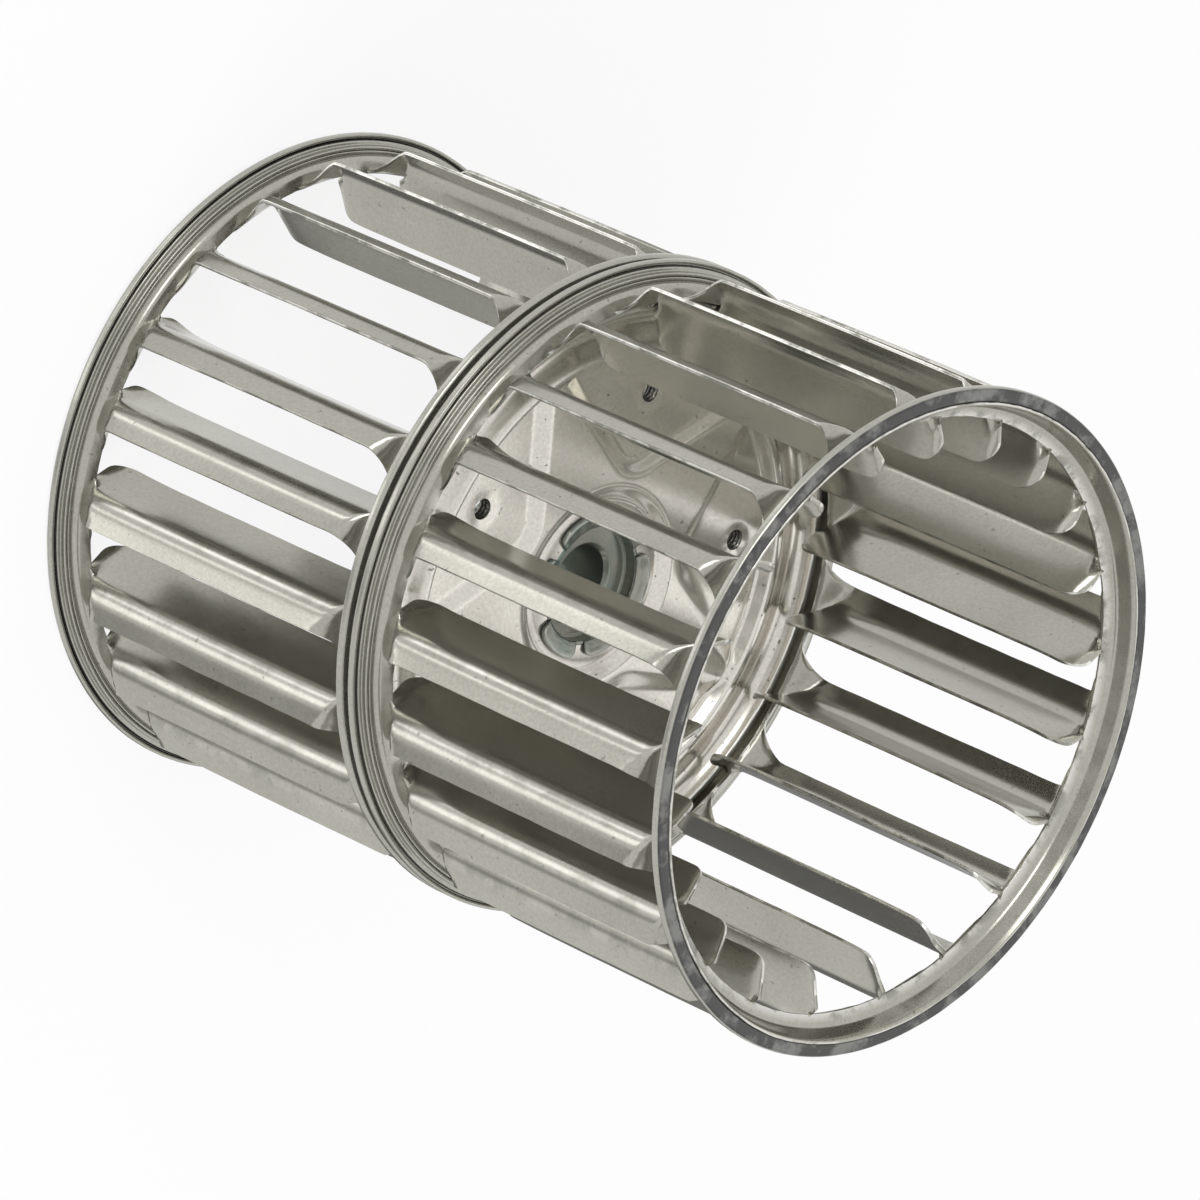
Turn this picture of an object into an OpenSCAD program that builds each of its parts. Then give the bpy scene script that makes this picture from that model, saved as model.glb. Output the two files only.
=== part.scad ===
// Double-width blower wheel with forward-curved blades, a pressed centre plate and a staked hub.
// Z is the wheel axis and z = 0 is the middle of the length. X points at the side seen in the photograph.
// Each drum is one slit sheet strip whose blades are twisted out of it, with a rolled ring at each end.

/* [Wheel] */
// Outer diameter of the rings
wheel_d = 127; // [120:0.5:140]
// Length over both end rings
wheel_len = 161.9; // [140:0.1:220]
// Height of the joint between the two drums above the middle
joint_z = 0.5; // [-3:0.1:3]
// Sheet thickness of the blade strips
strip_t = 0.7; // [0.5:0.05:0.8]

/* [Blades] */
// Number of blades in each drum
blade_n = 21; // [16:1:21]
// Azimuth of the inner edge of the first near blade
near_phase = 1.1; // [0:0.1:17]
// Azimuth of the inner edge of the first far blade
far_phase = 3.3; // [0:0.1:17]
// Distance from the wheel rim in to the free inner edge of a blade
blade_in = 15.4; // [14:0.1:16.5]
// Width of the flat inner part of a blade
flat_in_w = 8.9; // [8.2:0.1:9.5]
// Width of the flat outer part of a blade
flat_out_w = 2.9; // [2.4:0.1:3.3]
// Radius of the bend between the two flats
bend_r = 6; // [5:0.5:6.5]
// Lean of the inner flat from the radial line
lean_in = 17; // [13:0.5:20]
// Lean of the outer flat from the radial line
lean_out = 67; // [61:0.5:71]
// Length over which the outer flat twists into the margin
twist_len = 4.8; // [4:0.1:6]
// Radius of the free inner corner of a blade
corner_r = 4; // [3:0.1:5]
// Radius of the fillet where the outer edge runs onto the margin
flare_r = 4.5; // [3.5:0.1:5]
// Distance from a drum end to the free end edge of the blades
free_t = 6.1; // [5.9:0.1:6.4]

/* [Rings] */
// Height of the outer lip of a ring
lip_h = 1.9; // [1.5:0.1:2.4]
// Height of the inner hem of a ring
hem_h = 3.3; // [2.8:0.1:3.6]
// Thickness of one layer of a ring
layer_t = 0.7; // [0.5:0.05:0.8]

/* [Centre plate] */
// Sheet thickness of the centre plate
plate_t = 0.8; // [0.6:0.05:1]
// Height of the raised star over the five pads
star_h = 1; // [0.85:0.05:1.4]
// Height of the rim crest over the pads
crest_h = 2.7; // [2.2:0.1:3.2]
// Distance from the wheel rim in to the crest of the plate rim
crest_in = 17; // [15.5:0.5:18.5]
// Half angle between the arms of a pad
pad_half = 55; // [50:1:58]
// Radius at which the straight arms of a pad would meet
pad_tip = 21.3; // [20.6:0.1:24]
// Corner radius of a pad at its tip
pad_round = 7; // [5:0.5:8]
// Width of the slope round a pad
slope_w = 4.2; // [3:0.1:4.6]
// Diameter of the circle through the tapped holes
bolt_pcd = 75; // [70:1:78]
// Radius of the tapped holes
tap_r = 2; // [1.6:0.1:2.5]
// Azimuth of the first tapped hole
tap_az = 353.5; // [0:0.5:360]

/* [Hub] */
// Radius of the shaft bore
bore_r = 6.35; // [5:0.05:6.5]
// Outer radius of the hub barrel
barrel_r = 11.5; // [11:0.1:13]
// Length of the hub from its recessed face to its back end
barrel_len = 22; // [18:0.5:30]
// Radius of the hub collar that passes through the plate
collar_r = 12; // [11.8:0.1:12.5]
// Radius of the tips of the staked lugs
lug_r = 14.6; // [14:0.1:15.2]
// Angle that one staked lug takes
lug_span = 48; // [40:1:52]
// Radius of the set screw
screw_r = 3; // [2.5:0.1:3.5]

/* [Hidden] */
$fn = 132;

rim_r = wheel_d / 2;
end_z = wheel_len / 2;
// The plate rim is clamped between the crowns of the two drums.
clamp_t = 0.7;
near_z = joint_z + clamp_t / 2;
far_z = joint_z - clamp_t / 2;

// Margin of a strip in section, front side, as radius and depth below the crown
lip_in = 6.9;
lip_depth = 4.9;
neck_lap = 0.4;
crease_in = 4.5;
crease_depth = 4;
wall_in = 3.7;
wall_depth = 0.9;
crown_mid = 3.25;
crown_w = 0.45;
crown_soft = 0.1;
crown_edge = 0.4;
margin_r = rim_r - lip_in + neck_lap;
lip_edge = [rim_r - lip_in, -lip_depth];
crease = [rim_r - crease_in, -crease_depth];
wall_top = [rim_r - wall_in, -wall_depth];
crown_in = [rim_r - crown_mid, 0];
crown_out = [rim_r - crown_mid + crown_w, 0];
crown_low = [crown_out[0] + crown_soft, -crown_edge];

// Ring section
face_w = 2.2;
face_dip = 0.15;
face_soft = 0.25;
groove_top = -0.9;
groove_w = 0.7;
mid_layer_h = 2.1;
face_in = [rim_r - face_soft - face_w, -face_dip];
face_out = [rim_r - face_soft, -2 * face_dip];
corner_out = [rim_r, -2 * face_dip - face_soft];

function unit(v) = v / norm(v);
function left(v) = [-v[1], v[0]];
function last(p) = len(p) - 1;
function dir_in(p, i) = unit(i > 0 ? p[i] - p[i - 1] : p[1] - p[0]);
function dir_out(p, i) = i < last(p) ? unit(p[i + 1] - p[i]) : dir_in(p, i);
function mitre(a, b) = (left(a) + left(b)) / (1 + a * b);
// A path moved sideways by d, to the left of its direction
function side(p, d) = [for (i = [0 : last(p)]) p[i] + d * mitre(dir_in(p, i), dir_out(p, i))];
function reversed(p) = [for (i = [last(p) : -1 : 0]) p[i]];
// A path thickened on both sides
function sheet(p, t) = concat(side(p, t / 2), reversed(side(p, -t / 2)));

// Front side of a strip margin, its back side and the point of the back wall at a given depth
margin_front = [lip_edge, crease, wall_top];
margin_back = side(margin_front, -strip_t);
function back_wall(depth) =
    let (a = margin_back[1], b = margin_back[2])
    a + (b - a) * (-depth - a[1]) / (b[1] - a[1]);

module margin_section() {
    polygon(concat(margin_front, [crown_in, crown_out, crown_low], reversed(margin_back)));
}

module ring_section() {
    polygon([back_wall(hem_h), margin_back[2], crown_low, face_in, face_out, corner_out,
             [rim_r, -lip_h],
             [rim_r - layer_t, -lip_h],
             [rim_r - layer_t, groove_top],
             [rim_r - layer_t - groove_w, groove_top],
             [rim_r - layer_t - groove_w, -mid_layer_h],
             [rim_r - 2 * layer_t - groove_w, -mid_layer_h],
             [rim_r - 2 * layer_t - groove_w, -hem_h]]);
}

// A revolved section whose crown lies at z, facing up or facing down
module crown_up(z) {
    translate([0, 0, z])
        rotate_extrude()
            children();
}

module crown_down(z) {
    translate([0, 0, z])
        rotate_extrude()
            mirror([0, 1])
                children();
}

// Blade section along its developed width u, as radial and tangential distances
bend_w = bend_r * (lean_out - lean_in) * PI / 180;
blade_w = flat_in_w + bend_w + flat_out_w;
bend_a = [rim_r - blade_in, 0] + flat_in_w * [cos(lean_in), sin(lean_in)];
bend_b = bend_a + bend_r * [sin(lean_out) - sin(lean_in), cos(lean_in) - cos(lean_out)];
function heading(u) = lean_in + (lean_out - lean_in) * max(0, min(1, (u - flat_in_w) / bend_w));
function section(u) =
    u <= flat_in_w ? bend_a + (u - flat_in_w) * [cos(lean_in), sin(lean_in)]
    : u >= flat_in_w + bend_w ? bend_b + (u - flat_in_w - bend_w) * [cos(lean_out), sin(lean_out)]
    : bend_a + bend_r * [sin(heading(u)) - sin(lean_in), cos(lean_in) - cos(heading(u))];

// The neck joins the outer flat to the margin and is centred on it.
neck_u = (flat_in_w + blade_w) / 2;
neck_az = atan2(section(neck_u)[1], section(neck_u)[0]);
neck_start = 5.15;
twist_start = 5.3;
twist_short = 1.2;
function margin_az(u) = neck_az + (u - neck_u) / margin_r * 180 / PI;
function smooth(x) = let (c = max(0, min(1, x))) c * c * (3 - 2 * c);
function twist_at(u) =
    twist_short + (twist_len - twist_short) * max(0, min(1, (u - flat_in_w) / (blade_w - flat_in_w)));
function formed(u, t) = smooth((t - twist_start) / twist_at(u));
// Point of the blade at width u and end distance t, on one face of the sheet
function blade_point(u, t, face) =
    let (s = formed(u, t),
         az = margin_az(u),
         h = (1 - s) * (90 + az) + s * heading(u),
         p = (1 - s) * margin_r * [cos(az), sin(az)] + s * section(u))
    p + face * strip_t / 2 * [-sin(h), cos(h)];

// Quarter-round run-out of radius r at distance x from its start
function run_out(r, x) = x >= r ? 0 : r - sqrt(r * r - (r - x) * (r - x));
function first_u(t) = run_out(corner_r, t - free_t);
function last_u(t) = blade_w + run_out(flare_r, max(0, t - neck_start));
function columns(t) = [t < free_t ? flat_in_w : first_u(t),
                       flat_in_w,
                       flat_in_w + bend_w / 3,
                       flat_in_w + 2 * bend_w / 3,
                       flat_in_w + bend_w,
                       last_u(t)];
col_n = 6;

// Stations from one end of the drum to the other, each with its end distance
end_steps = [neck_start, free_t, free_t + corner_r * 0.3, free_t + corner_r * 0.62, free_t + corner_r];
function stations(len) = concat([for (t = end_steps) [t, t]],
                                [for (i = [len(end_steps) - 1 : -1 : 0]) [len - end_steps[i], end_steps[i]]]);

function ring_points(t, z, from) =
    let (u = columns(t))
    concat([for (j = [from : col_n - 1]) concat(blade_point(u[j], t, 1), z)],
           [for (j = [col_n - 1 : -1 : from]) concat(blade_point(u[j], t, -1), z)]);

// The first and last stations lie in the necks and have no inner flat.
neck_pts = 2 * (col_n - 1);
body_pts = 2 * col_n;
function start_of(k) = k == 0 ? 0 : neck_pts + (k - 1) * body_pts;
// Index of column j on a face of station k
function at(k, j, face, n) =
    k == 0 || k == n - 1
    ? start_of(k) + (face > 0 ? j - 1 : neck_pts - j)
    : start_of(k) + (face > 0 ? j : body_pts - 1 - j);
function quad(a, b, c, d) = [[a, b, c], [a, c, d]];

function skin(k, j, n) = concat(
    quad(at(k, j, 1, n), at(k, j + 1, 1, n), at(k + 1, j + 1, 1, n), at(k + 1, j, 1, n)),
    quad(at(k, j + 1, -1, n), at(k, j, -1, n), at(k + 1, j, -1, n), at(k + 1, j + 1, -1, n)));
function outer_edge(k, n) =
    quad(at(k, col_n - 1, 1, n), at(k, col_n - 1, -1, n), at(k + 1, col_n - 1, -1, n), at(k + 1, col_n - 1, 1, n));
function inner_edge(k, j, n) =
    quad(at(k, j, -1, n), at(k, j, 1, n), at(k + 1, j, 1, n), at(k + 1, j, -1, n));
function low_cap(k, j, n) =
    quad(at(k, j, 1, n), at(k, j, -1, n), at(k, j + 1, -1, n), at(k, j + 1, 1, n));
function high_cap(k, j, n) =
    quad(at(k, j, -1, n), at(k, j, 1, n), at(k, j + 1, 1, n), at(k, j + 1, -1, n));
function is_neck(k, n) = k == 0 || k == n - 2;

function blade_faces(n) = [
    for (k = [0 : n - 2]) for (j = [is_neck(k, n) ? 1 : 0 : col_n - 2]) for (f = skin(k, j, n)) f,
    for (k = [0 : n - 2]) for (f = outer_edge(k, n)) f,
    for (k = [0 : n - 2]) for (f = inner_edge(k, is_neck(k, n) ? 1 : 0, n)) f,
    for (j = [1 : col_n - 2]) for (f = low_cap(0, j, n)) f,
    for (j = [1 : col_n - 2]) for (f = high_cap(n - 1, j, n)) f,
    for (f = low_cap(1, 0, n)) f,
    for (f = high_cap(n - 2, 0, n)) f
];

module blade(len) {
    st = stations(len);
    n = len(st);
    polyhedron([for (k = [0 : n - 1]) for (p = ring_points(st[k][1], st[k][0], k == 0 || k == n - 1 ? 1 : 0)) p],
               blade_faces(n));
}

// One slit strip rolled into a drum between two crown planes
module strip(low, high, phase) {
    crown_up(high)
        margin_section();
    crown_down(low)
        margin_section();
    for (i = [0 : blade_n - 1])
        translate([0, 0, low])
            rotate([0, 0, phase + i * 360 / blade_n])
                blade(high - low);
}

module blade_strip_near() {
    color([0.78, 0.78, 0.76])
        strip(near_z, end_z, near_phase);
}

module blade_strip_far() {
    color([0.78, 0.78, 0.76])
        strip(-end_z, far_z, far_phase);
}

module end_ring_near() {
    color([0.6, 0.6, 0.6])
        crown_up(end_z)
            ring_section();
}

module end_ring_far() {
    color([0.6, 0.6, 0.6])
        crown_down(-end_z)
            ring_section();
}

module mid_ring_near() {
    color([0.6, 0.6, 0.6])
        crown_down(near_z)
            ring_section();
}

module mid_ring_far() {
    color([0.6, 0.6, 0.6])
        crown_up(far_z)
            ring_section();
}

// Heights of the top face of the centre plate
pad_z = 0.2;
star_z = pad_z + star_h;
crest_z = pad_z + crest_h;
seat_z = -0.2;
seat_r = 16.6;
seat_slope = 3.1;
crest_r = rim_r - crest_in;
wall_w = 2.5;
wall_foot = 0.9;
wall_r = crest_r - wall_w;
hem_gap = 0.2;
hem_out_r = lip_edge[0] - hem_gap;
hem_in_r = hem_out_r - 2 * plate_t;
hem_h_up = 4;
hem_top = joint_z + hem_h_up;
hem_soft = 0.3;
band_z = 1.5;
clamp_r = crown_out[0] + crown_soft / 2;
mid_t = plate_t / 2;
crest_soft = 0.4;
crest_round = 0.6;
crest_top_w = 2.4;
crest_fall_w = 4.6;
band_turn = 1.4;

// Middle line of the pressed sheet from the hub hole to the hem
plate_path = [[collar_r, seat_z - mid_t],
              [seat_r, seat_z - mid_t],
              [seat_r + seat_slope, star_z - mid_t],
              [wall_r + wall_foot, star_z - mid_t],
              [crest_r - crest_soft, crest_z - mid_t - crest_round / 2],
              [crest_r + crest_round, crest_z - mid_t],
              [crest_r + crest_top_w, crest_z - mid_t - crest_round],
              [crest_r + crest_fall_w, band_z - mid_t],
              [hem_in_r - band_turn, band_z + crest_soft - mid_t],
              [hem_in_r + crest_soft, band_z + band_turn - mid_t]];

module plate_section() {
    polygon(sheet(plate_path, plate_t));
    polygon([[hem_in_r, band_z], [hem_in_r, hem_top - hem_soft],
             [hem_in_r + hem_soft, hem_top], [hem_out_r - hem_soft, hem_top],
             [hem_out_r, hem_top - hem_soft], [hem_out_r, near_z],
             [clamp_r, near_z], [clamp_r, far_z],
             [hem_out_r - plate_t, far_z], [hem_out_r - plate_t, band_z]]);
}

// Thickness of the sheet where a pad meets the rim wall
pad_wall_t = 0.8 * plate_t;

// V outline of a pad, grown outward by g, with its arms carried past the rim
arm_len = 62;
tip_steps = 6;
function pad_outline(g) =
    let (rho = pad_round + g,
         c = pad_tip + pad_round / sin(pad_half),
         far = arm_len)
    concat([for (i = [-tip_steps : tip_steps])
                let (a = 180 + i * (90 - pad_half) / tip_steps)
                [c + rho * cos(a), -rho * sin(a)]],
           [[c + rho * cos(90 + pad_half) + far * cos(pad_half), rho * sin(90 + pad_half) + far * sin(pad_half)],
            [c + rho * cos(90 + pad_half) + far * cos(pad_half), -rho * sin(90 + pad_half) - far * sin(pad_half)]]);

// Space of a pad: its floor at z = low and its slope carried on up to z = high
module pad_wedge(low, high) {
    lower = pad_outline(-slope_w / 2);
    upper = pad_outline(slope_w * ((high - low) / star_h - 0.5));
    n = len(lower);
    polyhedron(concat([for (p = lower) concat(p, low)], [for (p = upper) concat(p, high)]),
               concat([[for (i = [n - 1 : -1 : 0]) i]],
                      [[for (i = [0 : n - 1]) n + i]],
                      [for (i = [0 : n - 1]) for (f = quad(i, (i + 1) % n, n + (i + 1) % n, n + i)) f]));
}

module pad_space() {
    intersection() {
        pad_wedge(pad_z, star_z + 0.5);
        cylinder(r = wall_r, h = 2 * star_h + 2, center = true);
    }
}

module pad_floor() {
    difference() {
        intersection() {
            pad_wedge(pad_z - plate_t, star_z - mid_t);
            cylinder(r = wall_r + pad_wall_t, h = 2 * star_h + 2, center = true);
        }
        pad_space();
    }
}

tap_collar_r = tap_r + 1;
tap_depth = 2.2;
module at_pads() {
    for (i = [0 : 4])
        rotate([0, 0, tap_az + i * 72])
            children();
}

module centre_plate() {
    color([0.76, 0.75, 0.73])
        difference() {
            union() {
                difference() {
                    rotate_extrude()
                        plate_section();
                    at_pads()
                        pad_space();
                }
                at_pads()
                    pad_floor();
                at_pads()
                    translate([bolt_pcd / 2, 0, pad_z - plate_t - tap_depth])
                        cylinder(r = tap_collar_r, h = tap_depth + plate_t / 2);
            }
            at_pads()
                translate([bolt_pcd / 2, 0, pad_z - plate_t - tap_depth - 1])
                    cylinder(r = tap_r, h = tap_depth + plate_t + 2);
        }
}

// Hub section heights
recess_z = -2.8;
recess_r = 11.2;
chamfer = 0.85;
shoulder_r = 16;
shoulder_h = 2.4;
hub_low = recess_z - barrel_len;
under_plate = seat_z - plate_t;
lug_top = seat_z + 1.1;
lug_root = 0.5;
lug_in_r = recess_r + 0.15;
screw_up = 8;
screw_z = hub_low + screw_up;
screw_gap = 2;
head_w = 8;
head_h = 5;

module hub_section() {
    polygon([[bore_r, hub_low + chamfer], [bore_r + chamfer, hub_low], [barrel_r - 0.5, hub_low],
             [barrel_r, hub_low + 0.5], [barrel_r, under_plate - shoulder_h],
             [shoulder_r, under_plate - shoulder_h], [shoulder_r, under_plate],
             [collar_r, under_plate], [collar_r, seat_z], [recess_r, seat_z], [recess_r, recess_z],
             [bore_r + chamfer, recess_z], [bore_r, recess_z - chamfer]]);
}

module lug_section() {
    polygon([[lug_in_r, seat_z - lug_root], [collar_r - 0.1, seat_z - lug_root], [collar_r - 0.1, seat_z],
             [lug_r - 0.3, seat_z], [lug_r, seat_z + 0.35], [lug_r - 0.2, lug_top - 0.3],
             [lug_r - 0.9, lug_top], [collar_r + 0.3, lug_top - 0.15], [lug_in_r, seat_z + 0.4]]);
}

module hub() {
    color([0.66, 0.7, 0.66])
        difference() {
            union() {
                rotate_extrude()
                    hub_section();
                for (i = [0 : 5])
                    rotate([0, 0, 18 - lug_span / 2 + i * 60])
                        rotate_extrude(angle = lug_span)
                            lug_section();
            }
            translate([0, 0, screw_z])
                rotate([0, 90, 0])
                    cylinder(r = screw_r, h = barrel_r + 2);
        }
}

module set_screw() {
    color([0.5, 0.5, 0.52])
        translate([0, 0, screw_z])
            rotate([0, 90, 0]) {
                translate([0, 0, bore_r + 0.2])
                    cylinder(r = screw_r, h = barrel_r - bore_r - 0.2 + screw_gap);
                translate([-head_w / 2, -head_w / 2, barrel_r + screw_gap])
                    cube([head_w, head_w, head_h]);
            }
}

centre_plate();
hub();
set_screw();
blade_strip_near();
blade_strip_far();
end_ring_near();
end_ring_far();
mid_ring_near();
mid_ring_far();
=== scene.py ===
"""Looks of the blower wheel, in metres, in the frame of its solids: +Z is the wheel axis.

Every visible piece is built from the section that the real one has, with its thickness, rolled edges,
burrs and small unevenness, and stands for the plainer solid that it hides.
"""
import math

import bmesh
import bpy
import numpy as np
from mathutils import Matrix, Vector


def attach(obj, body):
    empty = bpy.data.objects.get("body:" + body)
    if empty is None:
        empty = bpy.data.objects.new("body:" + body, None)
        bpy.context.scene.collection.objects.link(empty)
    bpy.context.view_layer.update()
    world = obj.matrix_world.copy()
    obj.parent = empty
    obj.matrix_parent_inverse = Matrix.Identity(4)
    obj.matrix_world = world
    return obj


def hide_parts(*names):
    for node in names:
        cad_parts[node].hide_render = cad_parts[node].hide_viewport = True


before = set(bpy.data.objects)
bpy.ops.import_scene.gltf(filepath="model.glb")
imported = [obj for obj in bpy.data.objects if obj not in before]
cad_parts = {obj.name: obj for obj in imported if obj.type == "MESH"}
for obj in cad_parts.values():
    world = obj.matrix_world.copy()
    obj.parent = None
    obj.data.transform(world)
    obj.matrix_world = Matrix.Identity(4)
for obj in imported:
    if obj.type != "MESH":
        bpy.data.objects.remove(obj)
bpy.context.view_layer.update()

MM = 0.001

# Wheel, in millimetres
RIM_R = 63.5
END_Z = 80.95
JOINT_Z = 0.5
CLAMP_T = 0.7
NEAR_Z = JOINT_Z + CLAMP_T / 2
FAR_Z = JOINT_Z - CLAMP_T / 2
STRIP_T = 0.7

# Blades
BLADE_N = 21
NEAR_PHASE = 1.1
FAR_PHASE = 3.3
BLADE_IN = 15.4
FLAT_IN_W = 8.9
FLAT_OUT_W = 2.9
BEND_R = 6.0
LEAN_IN = 17.0
LEAN_OUT = 67.0
TWIST_LEN = 4.8
TWIST_SHORT = 1.2
TWIST_START = 5.3
CORNER_R = 4.1
FLARE_R = 5.6
END_T = 4.05
SLIT_U = 7.0
END_TURN = 9.0
END_DECAY = 1.3
SETTLE_TURN = 2.5
SETTLE_DECAY = 7.0
NECK_START = 5.15
MARGIN_R = RIM_R - 6.5
# Painted highlight along the middle of each blade's bend: its strength, and its width in millimetres
BEND_SHEEN = 0.25
BEND_SHEEN_W = 1.3

# How far single blades differ: lean and azimuth in degrees, bow in millimetres
LEAN_SPREAD = 0.5
AZ_SPREAD = 0.12
BOW = 0.12
BOW_SHIFT = 0.1

BEND_W = BEND_R * math.radians(LEAN_OUT - LEAN_IN)
BLADE_W = FLAT_IN_W + BEND_W + FLAT_OUT_W


def smooth(x):
    c = np.clip(x, 0.0, 1.0)
    return c * c * (3 - 2 * c)


def wave(seed, x, octaves=4, first=1.0):
    """A smooth random line through x, about -1 to 1, periodic in 2 pi when first is whole."""
    rng = np.random.default_rng(seed)
    total = np.zeros_like(np.asarray(x, float))
    size = 0.0
    for k in range(octaves):
        f = first * 2 ** k
        a = 0.6 ** k
        total = total + a * np.sin(f * x + rng.uniform(0, 2 * math.pi))
        total = total + a * np.sin((f + 1) * x + rng.uniform(0, 2 * math.pi))
        size += 2 * a
    return total / size * 1.6


class Shell:
    """Collects vertices, faces and two marks for each vertex, one for wear and painted highlight and
    one for painted shade, then makes one mesh object.
    """

    def __init__(self):
        self.points = []
        self.faces = []
        self.marks = []
        self.painted_shades = []
        self.count = 0

    def grid(self, p, loop_rows=False, loop_cols=False, mark=0.0, painted_shade=0.0, keep=None):
        rows, cols = p.shape[:2]
        index = np.arange(rows * cols).reshape(rows, cols) + self.count
        down = np.roll(index, -1, 0) if loop_rows else index[1:]
        base = index if loop_rows else index[:-1]
        if loop_cols:
            quads = np.stack([base, np.roll(base, -1, 1), np.roll(down, -1, 1), down], -1)
        else:
            quads = np.stack([base[:, :-1], base[:, 1:], down[:, 1:], down[:, :-1]], -1)
        if keep is not None:
            quads = quads[keep]
        self.faces.append(quads.reshape(-1, 4))
        self.points.append(p.reshape(-1, 3))
        self.marks.append(np.broadcast_to(mark, (rows, cols)).reshape(-1))
        self.painted_shades.append(np.broadcast_to(painted_shade, (rows, cols)).reshape(-1))
        self.count += rows * cols
        return index

    def cap(self, a, b):
        """Quads between two equal rows of vertex numbers."""
        self.faces.append(np.stack([a[:-1], a[1:], b[1:], b[:-1]], -1))

    def build(self, name, weld=False, sharp=35.0):
        mesh = bpy.data.meshes.new(name)
        points = np.vstack(self.points) * MM
        faces = np.vstack(self.faces)
        used = np.unique(faces)
        renumber = np.zeros(len(points), int)
        renumber[used] = np.arange(len(used))
        mesh.from_pydata(points[used].tolist(), [], renumber[faces].tolist())
        # Two point attributes: wear with the painted highlights, and the painted shade
        for key, values in (("wear_and_sheen", self.marks), ("painted_shade", self.painted_shades)):
            layer = mesh.attributes.new(key, "FLOAT", "POINT")
            layer.data.foreach_set("value", np.concatenate(values)[used].astype(np.float32))
        bm = bmesh.new()
        bm.from_mesh(mesh)
        if weld:
            bmesh.ops.remove_doubles(bm, verts=bm.verts, dist=2e-7)
        bmesh.ops.recalc_face_normals(bm, faces=bm.faces)
        for f in bm.faces:
            f.smooth = True
        bm.to_mesh(mesh)
        bm.free()
        mesh.set_sharp_from_angle(angle=math.radians(sharp))
        mesh.validate()
        obj = bpy.data.objects.new(name, mesh)
        bpy.context.scene.collection.objects.link(obj)
        return obj


def polar(r, az):
    """Radius and azimuth in degrees, as x and y."""
    a = np.radians(az)
    return r * np.cos(a), r * np.sin(a)


# Blade section

def heading(u):
    return LEAN_IN + (LEAN_OUT - LEAN_IN) * np.clip((u - FLAT_IN_W) / BEND_W, 0, 1)


def direction(a):
    return np.stack([np.cos(np.radians(a)), np.sin(np.radians(a))], -1)


def section(u):
    """The formed blade at developed width u, as radial and tangential distances."""
    u = np.asarray(u, float)
    start = np.array([RIM_R - BLADE_IN, 0.0]) + FLAT_IN_W * direction(LEAN_IN)
    h = heading(u)
    turn = np.stack([np.sin(np.radians(h)) - math.sin(math.radians(LEAN_IN)),
                     math.cos(math.radians(LEAN_IN)) - np.cos(np.radians(h))], -1)
    before = np.minimum(u - FLAT_IN_W, 0)[..., None] * direction(LEAN_IN)
    after = np.maximum(u - FLAT_IN_W - BEND_W, 0)[..., None] * direction(LEAN_OUT)
    return start + BEND_R * turn + before + after


NECK_U = (FLAT_IN_W + BLADE_W) / 2
NECK_AZ = math.degrees(math.atan2(section(NECK_U)[1], section(NECK_U)[0]))


def blade_point(u, t, offset, lean=0.0):
    """Point of the blade at width u, end distance t and distance offset from its middle layer."""
    across = np.clip((u - FLAT_IN_W) / (BLADE_W - FLAT_IN_W), 0, 1)
    reach = TWIST_SHORT + (TWIST_LEN - TWIST_SHORT) * across
    s = 1 - smooth((u - SLIT_U) / (FLAT_IN_W - SLIT_U)) * (1 - smooth((t - TWIST_START) / reach))
    az = NECK_AZ + np.degrees((u - NECK_U) / MARGIN_R)
    lean = lean + END_TURN * np.exp((END_T - t) / END_DECAY)
    lean = lean + SETTLE_TURN * np.exp((END_T - t) / SETTLE_DECAY)
    h = (1 - s) * (90 + az) + s * (heading(u) + lean)
    pivot = section(NECK_U)
    c, n = np.cos(np.radians(lean)), np.sin(np.radians(lean))
    away = section(u) - pivot
    turned = np.stack([c * away[..., 0] - n * away[..., 1], n * away[..., 0] + c * away[..., 1]], -1)
    formed = pivot + turned
    flat = MARGIN_R * direction(az)
    p = (1 - s)[..., None] * flat + s[..., None] * formed
    normal = np.stack([-np.sin(np.radians(h)), np.cos(np.radians(h))], -1)
    return p + offset[..., None] * normal


def run_out(r, x):
    """How far a corner of radius r has still to go at distance x from its start."""
    x = np.clip(x, 0, r)
    return r - np.sqrt(r * r - (r - x) ** 2)


# Columns across the blade's width: shares of the flats, and developed widths in the bend
INNER_COLS = np.linspace(0, 1, 7)[:-1]
BEND_COLS = FLAT_IN_W + BEND_W * np.linspace(0, 1, 12)
OUTER_COLS = np.linspace(0, 1, 5)[1:]
COLS = len(INNER_COLS) + len(BEND_COLS) + len(OUTER_COLS)
HALF = STRIP_T / 2
EDGE = HALF * np.array([0.6, -0.6])
EDGE_ROUND = 0.04

# Stations near a blade's end: distance from the end face at the free corner, and at the neck
CORNER_T = END_T + CORNER_R * (1 - np.cos(np.radians(np.linspace(0, 90, 9))))
NECK_T = np.array([4.95, 5.25, 5.6, 6.0, 6.45, 6.95, 7.5, 8.1, 8.8])
BODY_T = np.array([9.7, 11.0, 12.6, 15.0, 19.0])


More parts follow.
